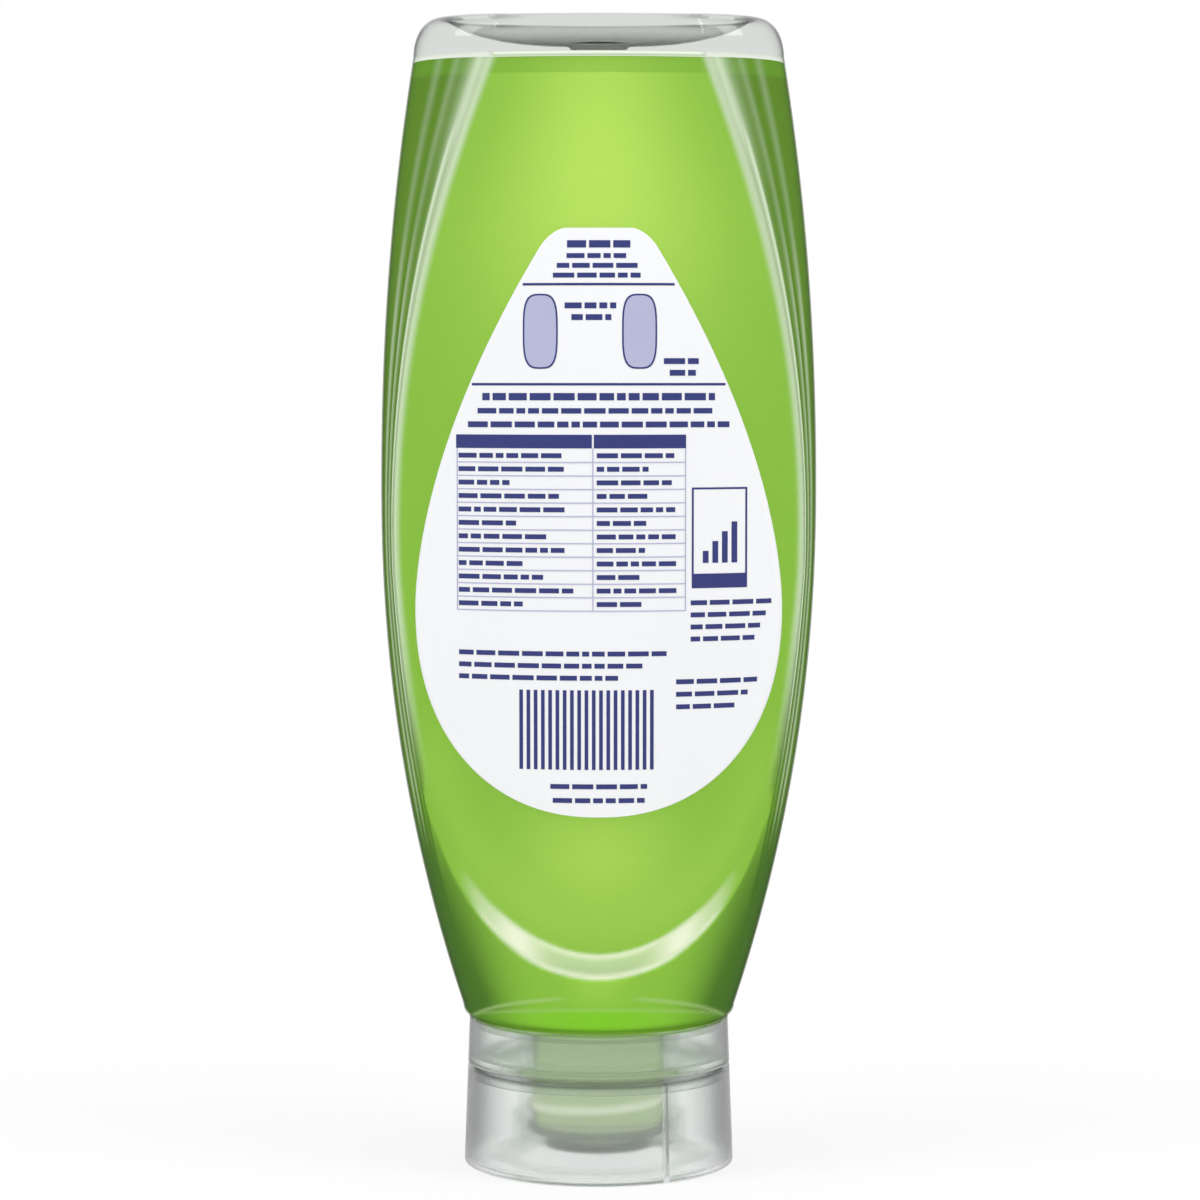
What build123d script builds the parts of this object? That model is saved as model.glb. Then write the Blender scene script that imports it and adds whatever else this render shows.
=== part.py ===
# A clear squeeze bottle of dish soap that stands on its wide screw cap, so the soap always lies on the valve.
# Millimetres. The origin is the centre of the foot, +Z is up, X is the width and the back label faces -Y.
import os
from math import acos, cos, radians, sin, sqrt

from build123d import *

# Bottle, outer form
total_height = 242.7  # foot to top rim
belly_level = 143.2  # where the bottle is widest
belly_half_width = 46.1
belly_half_depth = 27.5
crown_half_width = 39.1  # just under the rounded top rim
crown_half_depth = 21.9
crown_corner_height = 8.2  # the rim's rounding, upright
crown_corner_inset = 5.2  # and inward
shoulder_radius = 28.9  # round again where the body meets the cap
shoulder_corner_height = 2.4
shoulder_corner_inset = 2.0
width_bow = 2.1  # powers of the side and front outlines
depth_bow = 1.8
belly_power = 2.3  # superellipse power, 2 is an ellipse
bottle_wall = 0.7
overrun = 5.0  # how far a cutting form runs past what it cuts
lower_shares = (0.0, 0.1, 0.22, 0.36, 0.52, 0.75)  # section levels under and over the belly
upper_shares = (0.0, 0.3, 0.6, 0.85, 1.0)
corner_shares = (0.0, 0.35, 0.7, 1.0)  # section levels round a rounded corner, as shares of a right angle

# Panels with the labels, one in front and one behind
panel_level = 126.2  # where the panel's edge lies furthest out
panel_share = 0.941  # edge over half width, there
panel_top_drop = 0.3735
panel_foot_drop = 0.06
panel_top_bow = 2.2  # power of the edge's run inward towards the rim
panel_edge_margin = 0.6
panel_depth = 0.6
panel_foot_level = 48.5
panel_foot_extra_depth = 3.7
panel_foot_bow = 2.5  # power of its growth towards the foot
panel_side_level = 79.2  # over this level the panel's outline follows its edge
panel_side_steps = 6
panel_wrap = 75.0  # degrees that the panel's surface runs round from its middle, at most
panel_turn_level = 59.2  # here the outline turns under the label
panel_turn_half_width = 27.0
panel_low_level = 36.2  # lowest point, hidden under the ledge
ledge_slope = 1.25  # fall of the ledge over its reach

# Push-up in the closed end, which is on top
dimple_half_width = 31.9
dimple_half_depth = 14.6
dimple_sink = 5.2
gate_radius = 7.0
gate_tip_radius = 4.8
gate_sink = 1.8
bowl_profile = ((1.0, 0.0), (0.93, 0.45), (0.66, 0.86), (0.3, 1.0))  # shares of its width and of its sink

# Soap
fill_level = 234.2
soap_gap = 0.1

# Labels
label_top = 198.1
label_foot = 76.7
label_level = 119.6  # where the label is widest
label_half_width = 38.3
label_top_half_width = 9.7
label_low_power = 2.25  # round below the widest level
label_top_power = 1.72  # and tapering above it
label_low_shares = (0.95, 0.75, 0.4, 0.0)  # levels of the outline's points, under and over the widest one
label_top_shares = (0.33, 0.67, 1.0)
label_corner = 3.0
label_thickness = 0.12
label_gap = 0.06

# Neck and thread
neck_radius = 14.0
neck_wall = 2.0
shoulder_plate = 1.2
neck_chamfer = 1.4
thread_pitch = 4.0
thread_height = 1.1
thread_root_width = 2.4
thread_crest_width = 1.2
cap_thread_root_width = 2.0
cap_thread_crest_width = 1.0
thread_turns = 1.5
thread_bite = 0.4  # how far a ridge is sunk into its wall
thread_clearance = 0.35

# Cap
cap_height = 31.4
rim_gap = 0.4  # cap rim to bottle shoulder
foot_radius = 28.7
rim_radius = 27.55
foot_rounding = 1.0
cap_wall = 1.4
split_level = 21.35  # middle of the shadow line between the two tiers
split_gap = 1.1
lip_length = 2.2
lip_clearance = 0.15
web_thickness = 1.4
sleeve_wall = 1.6
sleeve_top_gap = 1.0
deck_level = 5.8
deck_thickness = 1.4
gasket_thickness = 1.2
gasket_clearance = 0.3
gasket_lap = 0.8
spigot_clearance = 0.35
shoulder_drop = 2.4  # the bottle's shoulder reaches this far into the cap's rim
foot_plate = 1.4
foot_recess = 0.6
foot_ring = 4.2
socket_wall = 1.3
socket_length = 8.6
socket_clearance = 0.15
bead_height = 0.3
bead_half_width = 0.5
bead_drop = 1.6  # bead under the socket's top
bead_groove_share = 1.4  # width of its groove over its own
groove_turn = 30.0  # degrees from the back's centre
groove_width = 0.9
groove_depth = 0.4

# Valve
housing_radius = 11.7
housing_wall = 1.1
valve_flange = 1.0
valve_fit = 0.1
port_radius = 7.6
valve_stem_wall = 0.7
valve_head_rise = 1.6
valve_head_edge = 0.8
valve_head_centre = 0.5
valve_head_dish = 0.4
slit_length = 8.0
slit_width = 0.15
retainer_thickness = 1.0
retainer_lap = 1.6
seal_thickness = 0.12
tab_width = 8.0
tab_length = 4.5

# Levels and radii that follow from the sizes above
crown_level = total_height - crown_corner_height
body_floor = cap_height + rim_gap
shoulder_level = body_floor + shoulder_corner_height
shoulder_under = body_floor - shoulder_drop
deck_top = deck_level + deck_thickness
neck_end = deck_top + gasket_thickness
neck_bore = neck_radius - neck_wall
spigot_radius = rim_radius - cap_wall - spigot_clearance
sleeve_bore = neck_radius + thread_height + thread_clearance
sleeve_radius = sleeve_bore + sleeve_wall
sleeve_top = shoulder_under - sleeve_top_gap
split_top = split_level + split_gap / 2
split_foot = split_level - split_gap / 2
valve_flange_foot = deck_level - valve_flange
housing_foot = valve_flange_foot - retainer_thickness
housing_bore = housing_radius - housing_wall
dimple_floor = total_height - dimple_sink


def rise(z):
    """0 at the belly, 1 at the crown."""
    return min(max((z - belly_level) / (crown_level - belly_level), 0.0), 1.0)


def fall(z):
    """0 at the belly, 1 at the shoulder."""
    return min(max((belly_level - z) / (belly_level - shoulder_level), 0.0), 1.0)


def half_width(z):
    upper = (belly_half_width - crown_half_width) * rise(z) ** width_bow
    lower = (belly_half_width - shoulder_radius) * fall(z) ** width_bow
    return belly_half_width - upper - lower


def half_depth(z):
    upper = (belly_half_depth - crown_half_depth) * rise(z) ** depth_bow
    lower = (belly_half_depth - shoulder_radius) * fall(z) ** depth_bow
    return belly_half_depth - upper - lower


def oval_power(z):
    return 2.0 + (belly_power - 2.0) * (1.0 - fall(z) ** 2)


def edge_share(z):
    """Where the panel's edge lies, as a share of the half width."""
    over = max(min(z, crown_level) - panel_level, 0.0) / (crown_level - panel_level)
    under = max(panel_level - z, 0.0) / (panel_level - shoulder_level)
    return panel_share - panel_top_drop * over**panel_top_bow - panel_foot_drop * under


def edge_point(z, inset):
    """Panel edge on the superellipse at this level, on the +X side of the front, moved in by the inset."""
    turn = acos(edge_share(z) ** (oval_power(z) / 2.0))
    x = (half_width(z) - inset) * edge_share(z)
    y = -(half_depth(z) - inset) * sin(turn) ** (2.0 / oval_power(z))
    return x, y


def face_circle(z):
    """Radius of the broad front arc and how far its centre lies behind the middle plane."""
    x, y = edge_point(z, 0.0)
    depth = half_depth(z)
    sagitta = depth + y
    radius = (x**2 + sagitta**2) / (2.0 * sagitta)
    return radius, radius - depth


def body_section(z, inset, corner):
    """One level of the body: two broad arcs for the panels and two tight ones for the sides."""
    move = inset + corner
    x, y = edge_point(z, move)
    depth = half_depth(z) - move
    width = half_width(z) - move
    with BuildSketch(Plane.XY.offset(z)) as section:
        with BuildLine():
            ThreePointArc((-x, y), (0.0, -depth), (x, y))
            ThreePointArc((x, y), (width, 0.0), (x, -y))
            ThreePointArc((x, -y), (0.0, depth), (-x, -y))
            ThreePointArc((-x, -y), (-width, 0.0), (-x, y))
        make_face()
    return section.sketch


def main_levels():
    """Levels of the sections between the two rounded corners."""
    lower = [shoulder_level + share * (belly_level - shoulder_level) for share in lower_shares]
    return lower + [belly_level + share * (crown_level - belly_level) for share in upper_shares]


def body_stations(inset):
    """Levels of the body's sections, each with the inset of the rounded corner at that level."""
    stations = []
    for step in corner_shares[:-1]:
        angle = radians(90.0 * step)
        level = shoulder_level - (shoulder_corner_height - inset) * cos(angle)
        stations.append((level, shoulder_corner_inset * (1.0 - sin(angle))))
    stations += [(level, 0.0) for level in main_levels()]
    for step in corner_shares[1:]:
        angle = radians(90.0 * step)
        level = crown_level + (crown_corner_height - inset) * sin(angle)
        stations.append((level, crown_corner_inset * (1.0 - cos(angle))))
    return stations


def panel_sink(z):
    """How deep the panel lies under the broad arc: shallow above, deep at its foot."""
    low = max(belly_level - z, 0.0) / (belly_level - panel_foot_level)
    return panel_depth + panel_foot_extra_depth * low**panel_foot_bow


def behind_panel(inset, ahead=0.0):
    """Everything behind the front panel's surface, moved in by the inset, or ahead for a label's film."""
    reach = belly_half_width + overrun
    levels = [shoulder_level - overrun] + main_levels() + [total_height + overrun]
    with BuildPart() as block:
        for z in levels:
            radius, back = face_circle(z)
            inner = radius - panel_sink(z) - inset
            x = min(reach, inner * sin(radians(panel_wrap)))
            middle = back - inner - ahead
            y = back - sqrt(inner**2 - x**2) - ahead
            with BuildSketch(Plane.XY.offset(z)):
                with BuildLine():
                    ThreePointArc((-x, y), (0.0, middle), (x, y))
                    Polyline((x, y), (x, belly_half_depth), (-x, belly_half_depth), (-x, y))
                make_face()
        loft()
    return block.part


def panel_outline(grow):
    """Drop shape of the panel, open over the top rim."""
    points = [(0.0, panel_low_level - grow), (panel_turn_half_width + grow, panel_turn_level)]
    for step in range(panel_side_steps + 1):
        z = panel_side_level + step * (crown_level - panel_side_level) / panel_side_steps
        points.append((edge_share(z) * half_width(z) - panel_edge_margin + grow, z))
    before, last = points[-2], points[-1]
    top = (last[0] - overrun, total_height + overrun)
    with BuildSketch(Plane.XZ) as outline:
        with BuildLine():
            Spline(*points, tangents=[(1.0, 0.0), (last[0] - before[0], last[1] - before[1])])
            Line(last, top)
            Line(top, (0.0, top[1]))
            mirror(about=Plane.YZ)
        make_face()
    return outline.sketch


def panel_recess(inset):
    """Front recess: drop prism in front of the panel's surface and above the sloping ledge."""
    panel_middle = half_depth(panel_foot_level) - panel_sink(panel_foot_level)
    drop = inset * sqrt(1.0 + ledge_slope**2) + inset * ledge_slope
    ledge_at_middle = panel_foot_level + ledge_slope * panel_middle - drop
    far = 2.0 * belly_half_depth
    with BuildPart() as recess:
        extrude(panel_outline(inset), amount=far)
        add(behind_panel(inset), mode=Mode.SUBTRACT)
        with BuildSketch(Plane.YZ):
            with BuildLine():
                foot = ledge_at_middle - ledge_slope * far
                Polyline((0.0, ledge_at_middle), (-far, foot), (-far, -far), (0.0, -far), close=True)
            make_face()
        extrude(amount=2.0 * belly_half_width, both=True, mode=Mode.SUBTRACT)
    return recess.part


def dimple(inset):
    """Oval push-up with the round gate mark in its middle."""
    with BuildPart() as bowl:
        for share, level in bowl_profile:
            z = total_height - level * dimple_sink - inset
            with BuildSketch(Plane.XY.offset(z)):
                Ellipse(share * dimple_half_width + inset, share * dimple_half_depth + inset)
        loft()
        with BuildSketch(Plane.XY.offset(total_height - inset)):
            Ellipse(dimple_half_width + inset, dimple_half_depth + inset)
        extrude(amount=overrun + inset)
        with BuildSketch(Plane.XZ):
            floor = dimple_floor - inset
            with BuildLine():
                Polyline(
                    (0.0, total_height),
                    (gate_radius + inset, total_height),
                    (gate_radius + inset, floor),
                    (gate_tip_radius + inset, floor - gate_sink),
                    (0.0, floor - gate_sink),
                    close=True,
                )
            make_face()
        revolve(axis=Axis.Z)
    return bowl.part


def body_form(inset):
    """The bottle's body as a solid form, moved in by the inset."""
    with BuildPart() as form:
        loft([body_section(z, inset, corner) for z, corner in body_stations(inset)])
        recess = panel_recess(inset)
        add(recess, mode=Mode.SUBTRACT)
        add(mirror(recess, about=Plane.XZ, mode=Mode.PRIVATE), mode=Mode.SUBTRACT)
        add(dimple(inset), mode=Mode.SUBTRACT)
    return form.part


def turned(points):
    """Solid of revolution about Z from radius and height pairs."""
    with BuildPart() as shape:
        with BuildSketch(Plane.XZ):
            with BuildLine():
                Polyline(*points, close=True)
            make_face()
        revolve(axis=Axis.Z)
    return shape.part


def neck_core(gap):
    """The hollow of the neck and shoulder; with a gap, the soap that fills it."""
    wide = spigot_radius - bottle_wall - gap
    bore = neck_bore - gap
    floor = shoulder_under + shoulder_plate + gap
    top = shoulder_level
    points = [(0.0, neck_end), (bore, neck_end), (bore, floor - neck_chamfer), (bore + neck_chamfer, floor)]
    return turned(points + [(wide, floor), (wide, top), (0.0, top)])


def thread_ridge(root, crest, root_width, crest_width, first_level):
    """Helical ridge from the root radius to the crest radius, inward or outward."""
    outward = 1.0 if crest > root else -1.0
    sunk = root - outward * thread_bite
    slope = (root_width - crest_width) / abs(crest - root)
    sunk_width = root_width + slope * thread_bite
    with BuildPart() as ridge:
        with BuildLine() as path:
            Helix(thread_pitch, thread_turns * thread_pitch, root, center=(0.0, 0.0, first_level))
        with BuildSketch(Plane(origin=path.line @ 0, x_dir=(1.0, 0.0, 0.0), z_dir=path.line % 0)):
            with BuildLine():
                Polyline(
                    (sunk - root, -sunk_width / 2.0),
                    (crest - root, -crest_width / 2.0),
                    (crest - root, crest_width / 2.0),
                    (sunk - root, sunk_width / 2.0),
                    close=True,
                )
            make_face()
        sweep(path=path.line, is_frenet=True)
    return ridge.part


def cone_radius(z):
    """The cap's outer radius, which narrows a little from foot to rim."""
    return foot_radius + (rim_radius - foot_radius) * z / cap_height


neck_thread_level = neck_end + 0.5 * thread_pitch
cap_thread_level = neck_thread_level + 0.5 * thread_pitch

with BuildPart() as bottle:
    add(body_form(0.0))
    neck_outline = [(0.0, neck_end), (neck_radius, neck_end), (neck_radius, shoulder_under)]
    neck_outline += [(spigot_radius, shoulder_under), (spigot_radius, shoulder_level), (0.0, shoulder_level)]
    add(turned(neck_outline))
    crest_radius = neck_radius + thread_height
    add(thread_ridge(neck_radius, crest_radius, thread_root_width, thread_crest_width, neck_thread_level))
    add(body_form(bottle_wall), mode=Mode.SUBTRACT)
    add(neck_core(0.0), mode=Mode.SUBTRACT)
bottle.part.label = "bottle"

with BuildPart() as soap:
    add(body_form(bottle_wall + soap_gap))
    with BuildSketch(Plane.XY.offset(fill_level)):
        Rectangle(4.0 * belly_half_width, 4.0 * belly_half_width)
    extrude(amount=total_height, mode=Mode.SUBTRACT)
    add(neck_core(soap_gap))
soap.part.label = "soap"


def label_half(z):
    """Half width of the label: a superellipse below its widest level, a power curve above."""
    under = max(label_level - z, 0.0) / (label_level - label_foot)
    over = max(z - label_level, 0.0) / (label_top - label_level)
    round_part = label_half_width * (1.0 - under**label_low_power) ** (1.0 / label_low_power)
    return round_part - (label_half_width - label_top_half_width) * over**label_top_power


def label_sheet():
    """Thin film on the front panel, rounded like a leaf."""
    low_levels = [label_level - share * (label_level - label_foot) for share in label_low_shares]
    high_levels = [label_level + share * (label_top - label_level) for share in label_top_shares]
    points = [(0.0, label_foot)] + [(label_half(z), z) for z in low_levels + high_levels]
    before, top = points[-2], points[-1]
    with BuildPart() as sheet:
        with BuildSketch(Plane.XZ):
            with BuildLine():
                Spline(*points, tangents=[(1.0, 0.0), (top[0] - before[0], top[1] - before[1])])
                Line(top, (0.0, label_top))
                mirror(about=Plane.YZ)
            make_face()
            fillet(vertices().group_by(Axis.Y)[-1], label_corner)
        extrude(amount=2.0 * belly_half_depth)
        add(behind_panel(0.0, label_gap + label_thickness), mode=Mode.INTERSECT)
        add(behind_panel(0.0, label_gap), mode=Mode.SUBTRACT)
    return sheet.part


with BuildPart() as back_label:
    add(label_sheet())
back_label.part.label = "back_label"

with BuildPart() as front_label:
    add(mirror(label_sheet(), about=Plane.XZ, mode=Mode.PRIVATE))
front_label.part.label = "front_label"

lip_radius = cone_radius(split_foot) - cap_wall - lip_clearance
web_foot = split_top
web_top = web_foot + web_thickness
collar_outline = [
    (rim_radius, cap_height),
    (cone_radius(split_top), split_top),
    (lip_radius, split_top),
    (lip_radius, split_foot - lip_length),
    (lip_radius - cap_wall, split_foot - lip_length),
    (lip_radius - cap_wall, web_foot),
    (sleeve_radius, web_foot),
    (sleeve_radius, deck_level),
    (housing_radius, deck_level),
    (housing_radius, housing_foot),
    (housing_bore, housing_foot),
    (housing_bore, deck_level),
    (port_radius, deck_level),
    (port_radius, deck_top),
    (sleeve_bore, deck_top),
    (sleeve_bore, sleeve_top),
    (sleeve_radius, sleeve_top),
    (sleeve_radius, web_top),
    (cone_radius(web_top) - cap_wall, web_top),
    (rim_radius - cap_wall, cap_height),
]
bead_level = foot_plate + foot_recess + socket_length - bead_drop

with BuildPart() as cap_collar:
    add(turned(collar_outline))
    bead = [(sleeve_bore, bead_level - bead_half_width), (sleeve_radius, bead_level - bead_half_width)]
    bead += [(sleeve_radius + bead_height, bead_level)]
    bead += [(sleeve_radius, bead_level + bead_half_width), (sleeve_bore, bead_level + bead_half_width)]
    add(turned(bead))
    inner_crest = neck_radius + thread_clearance
    ridge_widths = (cap_thread_root_width, cap_thread_crest_width)
    add(thread_ridge(sleeve_bore, inner_crest, *ridge_widths, cap_thread_level))
cap_collar.part.label = "cap_collar"

socket_bore = sleeve_radius + socket_clearance
socket_radius = socket_bore + socket_wall
plate_top = foot_recess + foot_plate
socket_top = plate_top + socket_length
foot_outline = [
    (cone_radius(split_foot), split_foot),
    (foot_radius, 0.0),
    (foot_radius - foot_rounding - foot_ring, 0.0),
    (foot_radius - foot_rounding - foot_ring - foot_recess, foot_recess),
    (socket_bore, foot_recess),
    (socket_bore, bead_level - bead_groove_share * bead_half_width),
    (socket_bore + bead_height, bead_level),
    (socket_bore, bead_level + bead_groove_share * bead_half_width),
    (socket_bore, socket_top),
    (socket_radius, socket_top),
    (socket_radius, plate_top),
    (cone_radius(plate_top) - cap_wall, plate_top),
    (cone_radius(split_foot) - cap_wall, split_foot),
]

with BuildPart() as cap_foot:
    add(turned(foot_outline))
    fillet(edges().group_by(Axis.Z)[0].sort_by(SortBy.RADIUS)[-1], foot_rounding)
    groove_plane = Plane.XY.rotated((0.0, 0.0, groove_turn - 90.0))
    with BuildSketch(groove_plane):
        with Locations((foot_radius, 0.0)):
            Rectangle(2.0 * (groove_depth + foot_radius - rim_radius), groove_width)
    extrude(amount=cap_height, mode=Mode.SUBTRACT)
cap_foot.part.label = "cap_foot"

gasket_outer = sleeve_bore - gasket_clearance
with BuildPart() as neck_gasket:
    with BuildSketch(Plane.XY.offset(deck_top)):
        Circle(gasket_outer)
        Circle(neck_bore - gasket_lap, mode=Mode.SUBTRACT)
    extrude(amount=gasket_thickness)
neck_gasket.part.label = "neck_gasket"

stem_radius = port_radius - valve_fit
stem_bore = stem_radius - valve_stem_wall
head_top = valve_flange_foot + valve_head_rise
valve_outline = [
    (housing_bore - valve_fit, deck_level),
    (stem_radius, deck_level),
    (stem_radius, head_top),
    (0.0, head_top - valve_head_dish),
    (0.0, head_top - valve_head_dish - valve_head_centre),
    (stem_bore, head_top - valve_head_edge),
    (stem_bore, valve_flange_foot),
    (housing_bore - valve_fit, valve_flange_foot),
]

with BuildPart() as valve:
    add(turned(valve_outline))
    with BuildSketch(Plane.XY.offset(housing_foot)):
        Rectangle(slit_length, slit_width)
        Rectangle(slit_width, slit_length)
    extrude(amount=cap_height, mode=Mode.SUBTRACT)
valve.part.label = "valve"

with BuildPart() as valve_retainer:
    with BuildSketch(Plane.XY.offset(housing_foot)):
        Circle(housing_bore - valve_fit)
        Circle(housing_bore - valve_fit - retainer_lap - housing_wall, mode=Mode.SUBTRACT)
    extrude(amount=retainer_thickness)
valve_retainer.part.label = "valve_retainer"

with BuildPart() as peel_seal:
    with BuildSketch(Plane.XY.offset(housing_foot)):
        Circle(housing_radius)
        with Locations((0.5 * (housing_radius + tab_length), 0.0)):
            SlotOverall(housing_radius + tab_length, tab_width)
    extrude(amount=-seal_thickness)
peel_seal.part.label = "peel_seal"

os.makedirs("parts", exist_ok=True)
export_step(bottle.part, "parts/bottle.step")
export_step(soap.part, "parts/soap.step")
export_step(back_label.part, "parts/back_label.step")
export_step(front_label.part, "parts/front_label.step")
export_step(cap_collar.part, "parts/cap_collar.step")
export_step(cap_foot.part, "parts/cap_foot.step")
export_step(neck_gasket.part, "parts/neck_gasket.step")
export_step(valve.part, "parts/valve.step")
export_step(valve_retainer.part, "parts/valve_retainer.step")
export_step(peel_seal.part, "parts/peel_seal.step")
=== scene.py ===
# %% [markdown]
# # A soap bottle that stands on its cap
# This lesson dresses a finished construction model of a clear squeeze bottle. The bottle is oval, holds
# green dish soap and stands on a wide frosted screw cap, so the soap always lies on the valve in the cap.
# We load the construction first. It sets the frame: metres, Z up, and the label we look at faces -Y.

import bpy
import mathutils
import numpy as np
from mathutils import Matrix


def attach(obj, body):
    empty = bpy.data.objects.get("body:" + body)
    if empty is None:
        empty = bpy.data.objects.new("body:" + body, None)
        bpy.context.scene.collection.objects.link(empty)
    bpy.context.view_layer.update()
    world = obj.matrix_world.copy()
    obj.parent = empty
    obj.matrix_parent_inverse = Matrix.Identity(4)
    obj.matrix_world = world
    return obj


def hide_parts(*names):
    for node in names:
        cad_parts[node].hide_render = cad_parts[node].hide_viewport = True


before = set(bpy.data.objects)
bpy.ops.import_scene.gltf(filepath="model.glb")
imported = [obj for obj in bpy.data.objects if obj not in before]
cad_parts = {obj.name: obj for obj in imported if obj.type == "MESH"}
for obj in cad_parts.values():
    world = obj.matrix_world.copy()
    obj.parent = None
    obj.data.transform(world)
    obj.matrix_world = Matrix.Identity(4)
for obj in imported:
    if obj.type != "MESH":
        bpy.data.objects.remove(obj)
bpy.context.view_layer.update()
MM = 0.001
print("nodes:", sorted(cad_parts))

# %% [markdown]
# ## The outline in formulas
# A blow-moulded bottle is a smooth stack of oval sections. Its width and depth each follow a power curve
# from the belly up to the rim and down to the round shoulder. The construction uses the same formulas, so
# the fine mesh we make here lies where the solid does. All sizes are millimetres until a mesh is made from
# them.

# %% Outline curves
TOP, CROWN, BELLY, SHOULDER, FLOOR = 242.7, 234.5, 143.2, 34.2, 31.8
HALF_WIDTH, RIM_NARROWING, SHOULDER_NARROWING, WIDTH_POWER = 46.1, 7.0, 17.2, 2.1
HALF_DEPTH, RIM_THINNING, SHOULDER_DEEPENING, DEPTH_POWER = 27.5, 5.6, 1.4, 1.8


def rise(z):
    """0 at the belly and 1 at the crown, held at both ends."""
    return np.clip((z - BELLY) / (CROWN - BELLY), 0.0, 1.0)


def fall(z):
    """0 at the belly and 1 at the shoulder, held at both ends."""
    return np.clip((BELLY - z) / (BELLY - SHOULDER), 0.0, 1.0)


def half_width(z):
    """Belly half width less a power of the rise and a power of the fall."""
    return HALF_WIDTH - RIM_NARROWING * rise(z) ** WIDTH_POWER - SHOULDER_NARROWING * fall(z) ** WIDTH_POWER


def half_depth(z):
    """The same for the depth, which grows a little towards the round shoulder."""
    return HALF_DEPTH - RIM_THINNING * rise(z) ** DEPTH_POWER + SHOULDER_DEEPENING * fall(z) ** DEPTH_POWER


def oval_power(z):
    """Superellipse power: 2.3 at the belly, 2 (an ellipse) at the shoulder."""
    return 2.0 + 0.3 * (1.0 - fall(z) ** 2)


print("half widths at rim, belly, shoulder:", half_width(np.array([CROWN, BELLY, SHOULDER])).round(2))

# %% [markdown]
# ## The label panel
# Each label lies on a panel that is pressed into the broad side. A ridge beside it parts the front from the
# side, and at the panel's foot, where it lies deepest, it ends in a round ledge. We could model the ledge
# by hand, but a distance from the panel's outline gives its slope everywhere at once. The lower corners of
# this outline are a little rounder than in the construction.

# %% Panel curves
PANEL_LEVEL, PANEL_TURN, PANEL_FOOT = 126.2, 101.2, 48.5
PANEL_HALF, PANEL_POWER, PANEL_MARGIN = 39.3, 1.93, 1.2
EDGE_SHARE, EDGE_DROP_RIM, EDGE_DROP_SHOULDER = 0.941, 0.3735, 0.06
SINK, FOOT_SINK = 0.6, 3.7
LEDGE, FOOT_LEDGE, LEDGE_START, LEDGE_RUN = 1.0, 4.3, PANEL_FOOT + 24.7, 27.0


def edge_share(z):
    """Where the panel's edge lies, as a share of the half width."""
    over = np.clip(np.minimum(z, CROWN) - PANEL_LEVEL, 0.0, None) / (CROWN - PANEL_LEVEL)
    under = np.clip(PANEL_LEVEL - z, 0.0, None) / (PANEL_LEVEL - SHOULDER)
    return EDGE_SHARE - EDGE_DROP_RIM * over**2.2 - EDGE_DROP_SHOULDER * under


def panel_sink(z):
    """Depth of the label panel under the broad arc: shallow above, deep at its foot."""
    low = np.clip(BELLY - z, 0.0, None) / (BELLY - PANEL_FOOT)
    return SINK + FOOT_SINK * low**2.5


def outline_distance(x, z):
    """Distance outside the panel's outline, negative inside. The outline is the panel's edge above and a
    superellipse below; the distance is its level set over the length of its gradient."""
    half = np.where(z > PANEL_TURN, edge_share(z) * half_width(z) - PANEL_MARGIN, PANEL_HALF)
    drop = PANEL_TURN - PANEL_FOOT
    across = np.abs(x) / half
    down = np.clip(PANEL_TURN - z, 0.0, None) / drop
    level = np.maximum((across**PANEL_POWER + down**PANEL_POWER) ** (1.0 / PANEL_POWER), 1e-4)
    steep = PANEL_POWER - 1.0
    slope = level**-steep * np.hypot(across**steep / half, down**steep / drop)
    return (level - 1.0) / np.maximum(slope, 1e-3)


def ledge_blend(x, z, inset):
    """1 on the panel and 0 outside it, with a sloping ledge between, narrow above and broad at the foot."""
    width = LEDGE + FOOT_LEDGE * np.clip((LEDGE_START - z) / LEDGE_RUN, 0.0, 1.0)
    t = np.clip((outline_distance(x, z) - inset) / width, 0.0, 1.0)
    return 1.0 - (0.6 * t + 0.4 * t * t * (3.0 - 2.0 * t))


print("panel sink at belly and foot:", panel_sink(np.array([BELLY, PANEL_FOOT])).round(2))

# %% [markdown]
# ## Rings and columns
# Each ring of the mesh is four arcs: a broad one in front, a broad one behind and a tight one on either
# side. We place columns by shares of each arc, closer together near the panel's edges. That way one column
# always runs exactly along the ridge between the panel and the side, and the ridge stays crisp from rim to
# shoulder. Two reliefs are pressed into the rings: three scallops beside each panel edge, and the panel
# with its ledge.

# %% Rings with relief
FRONT, SIDE = 104, 60
RIDGES = np.array([1.0, 0.90, 0.74, 0.57])
RIDGE_COLUMNS = [0, 6, 14, 22, SIDE // 2]
SCALLOP_DEPTH, SCALLOP_FOOT, SCALLOP_RUN_IN, SCALLOP_RUN_OUT = 0.35, 66.0, 20.0, 11.0
front_even = np.linspace(-1.0, 1.0, FRONT + 1)[:-1]
front_share = 0.5 * front_even + 0.5 * np.sin(0.5 * np.pi * front_even)
side_half = np.interp(np.arange(SIDE // 2 + 1), RIDGE_COLUMNS, [*RIDGES, 0.0])
side_share = np.concatenate([side_half, -side_half[-2:0:-1]])


def scallop(share):
    """A parabola between neighbouring ridges, 0 on each ridge, 1 halfway, and 0 on the plain band."""
    place = np.abs(share)
    hollow = np.zeros_like(place)
    for outer, inner in zip(RIDGES, RIDGES[1:]):
        q = np.clip((place - inner) / (outer - inner), 0.0, 1.0)
        hollow = np.maximum(hollow, 4.0 * q * (1.0 - q))
    return hollow


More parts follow.
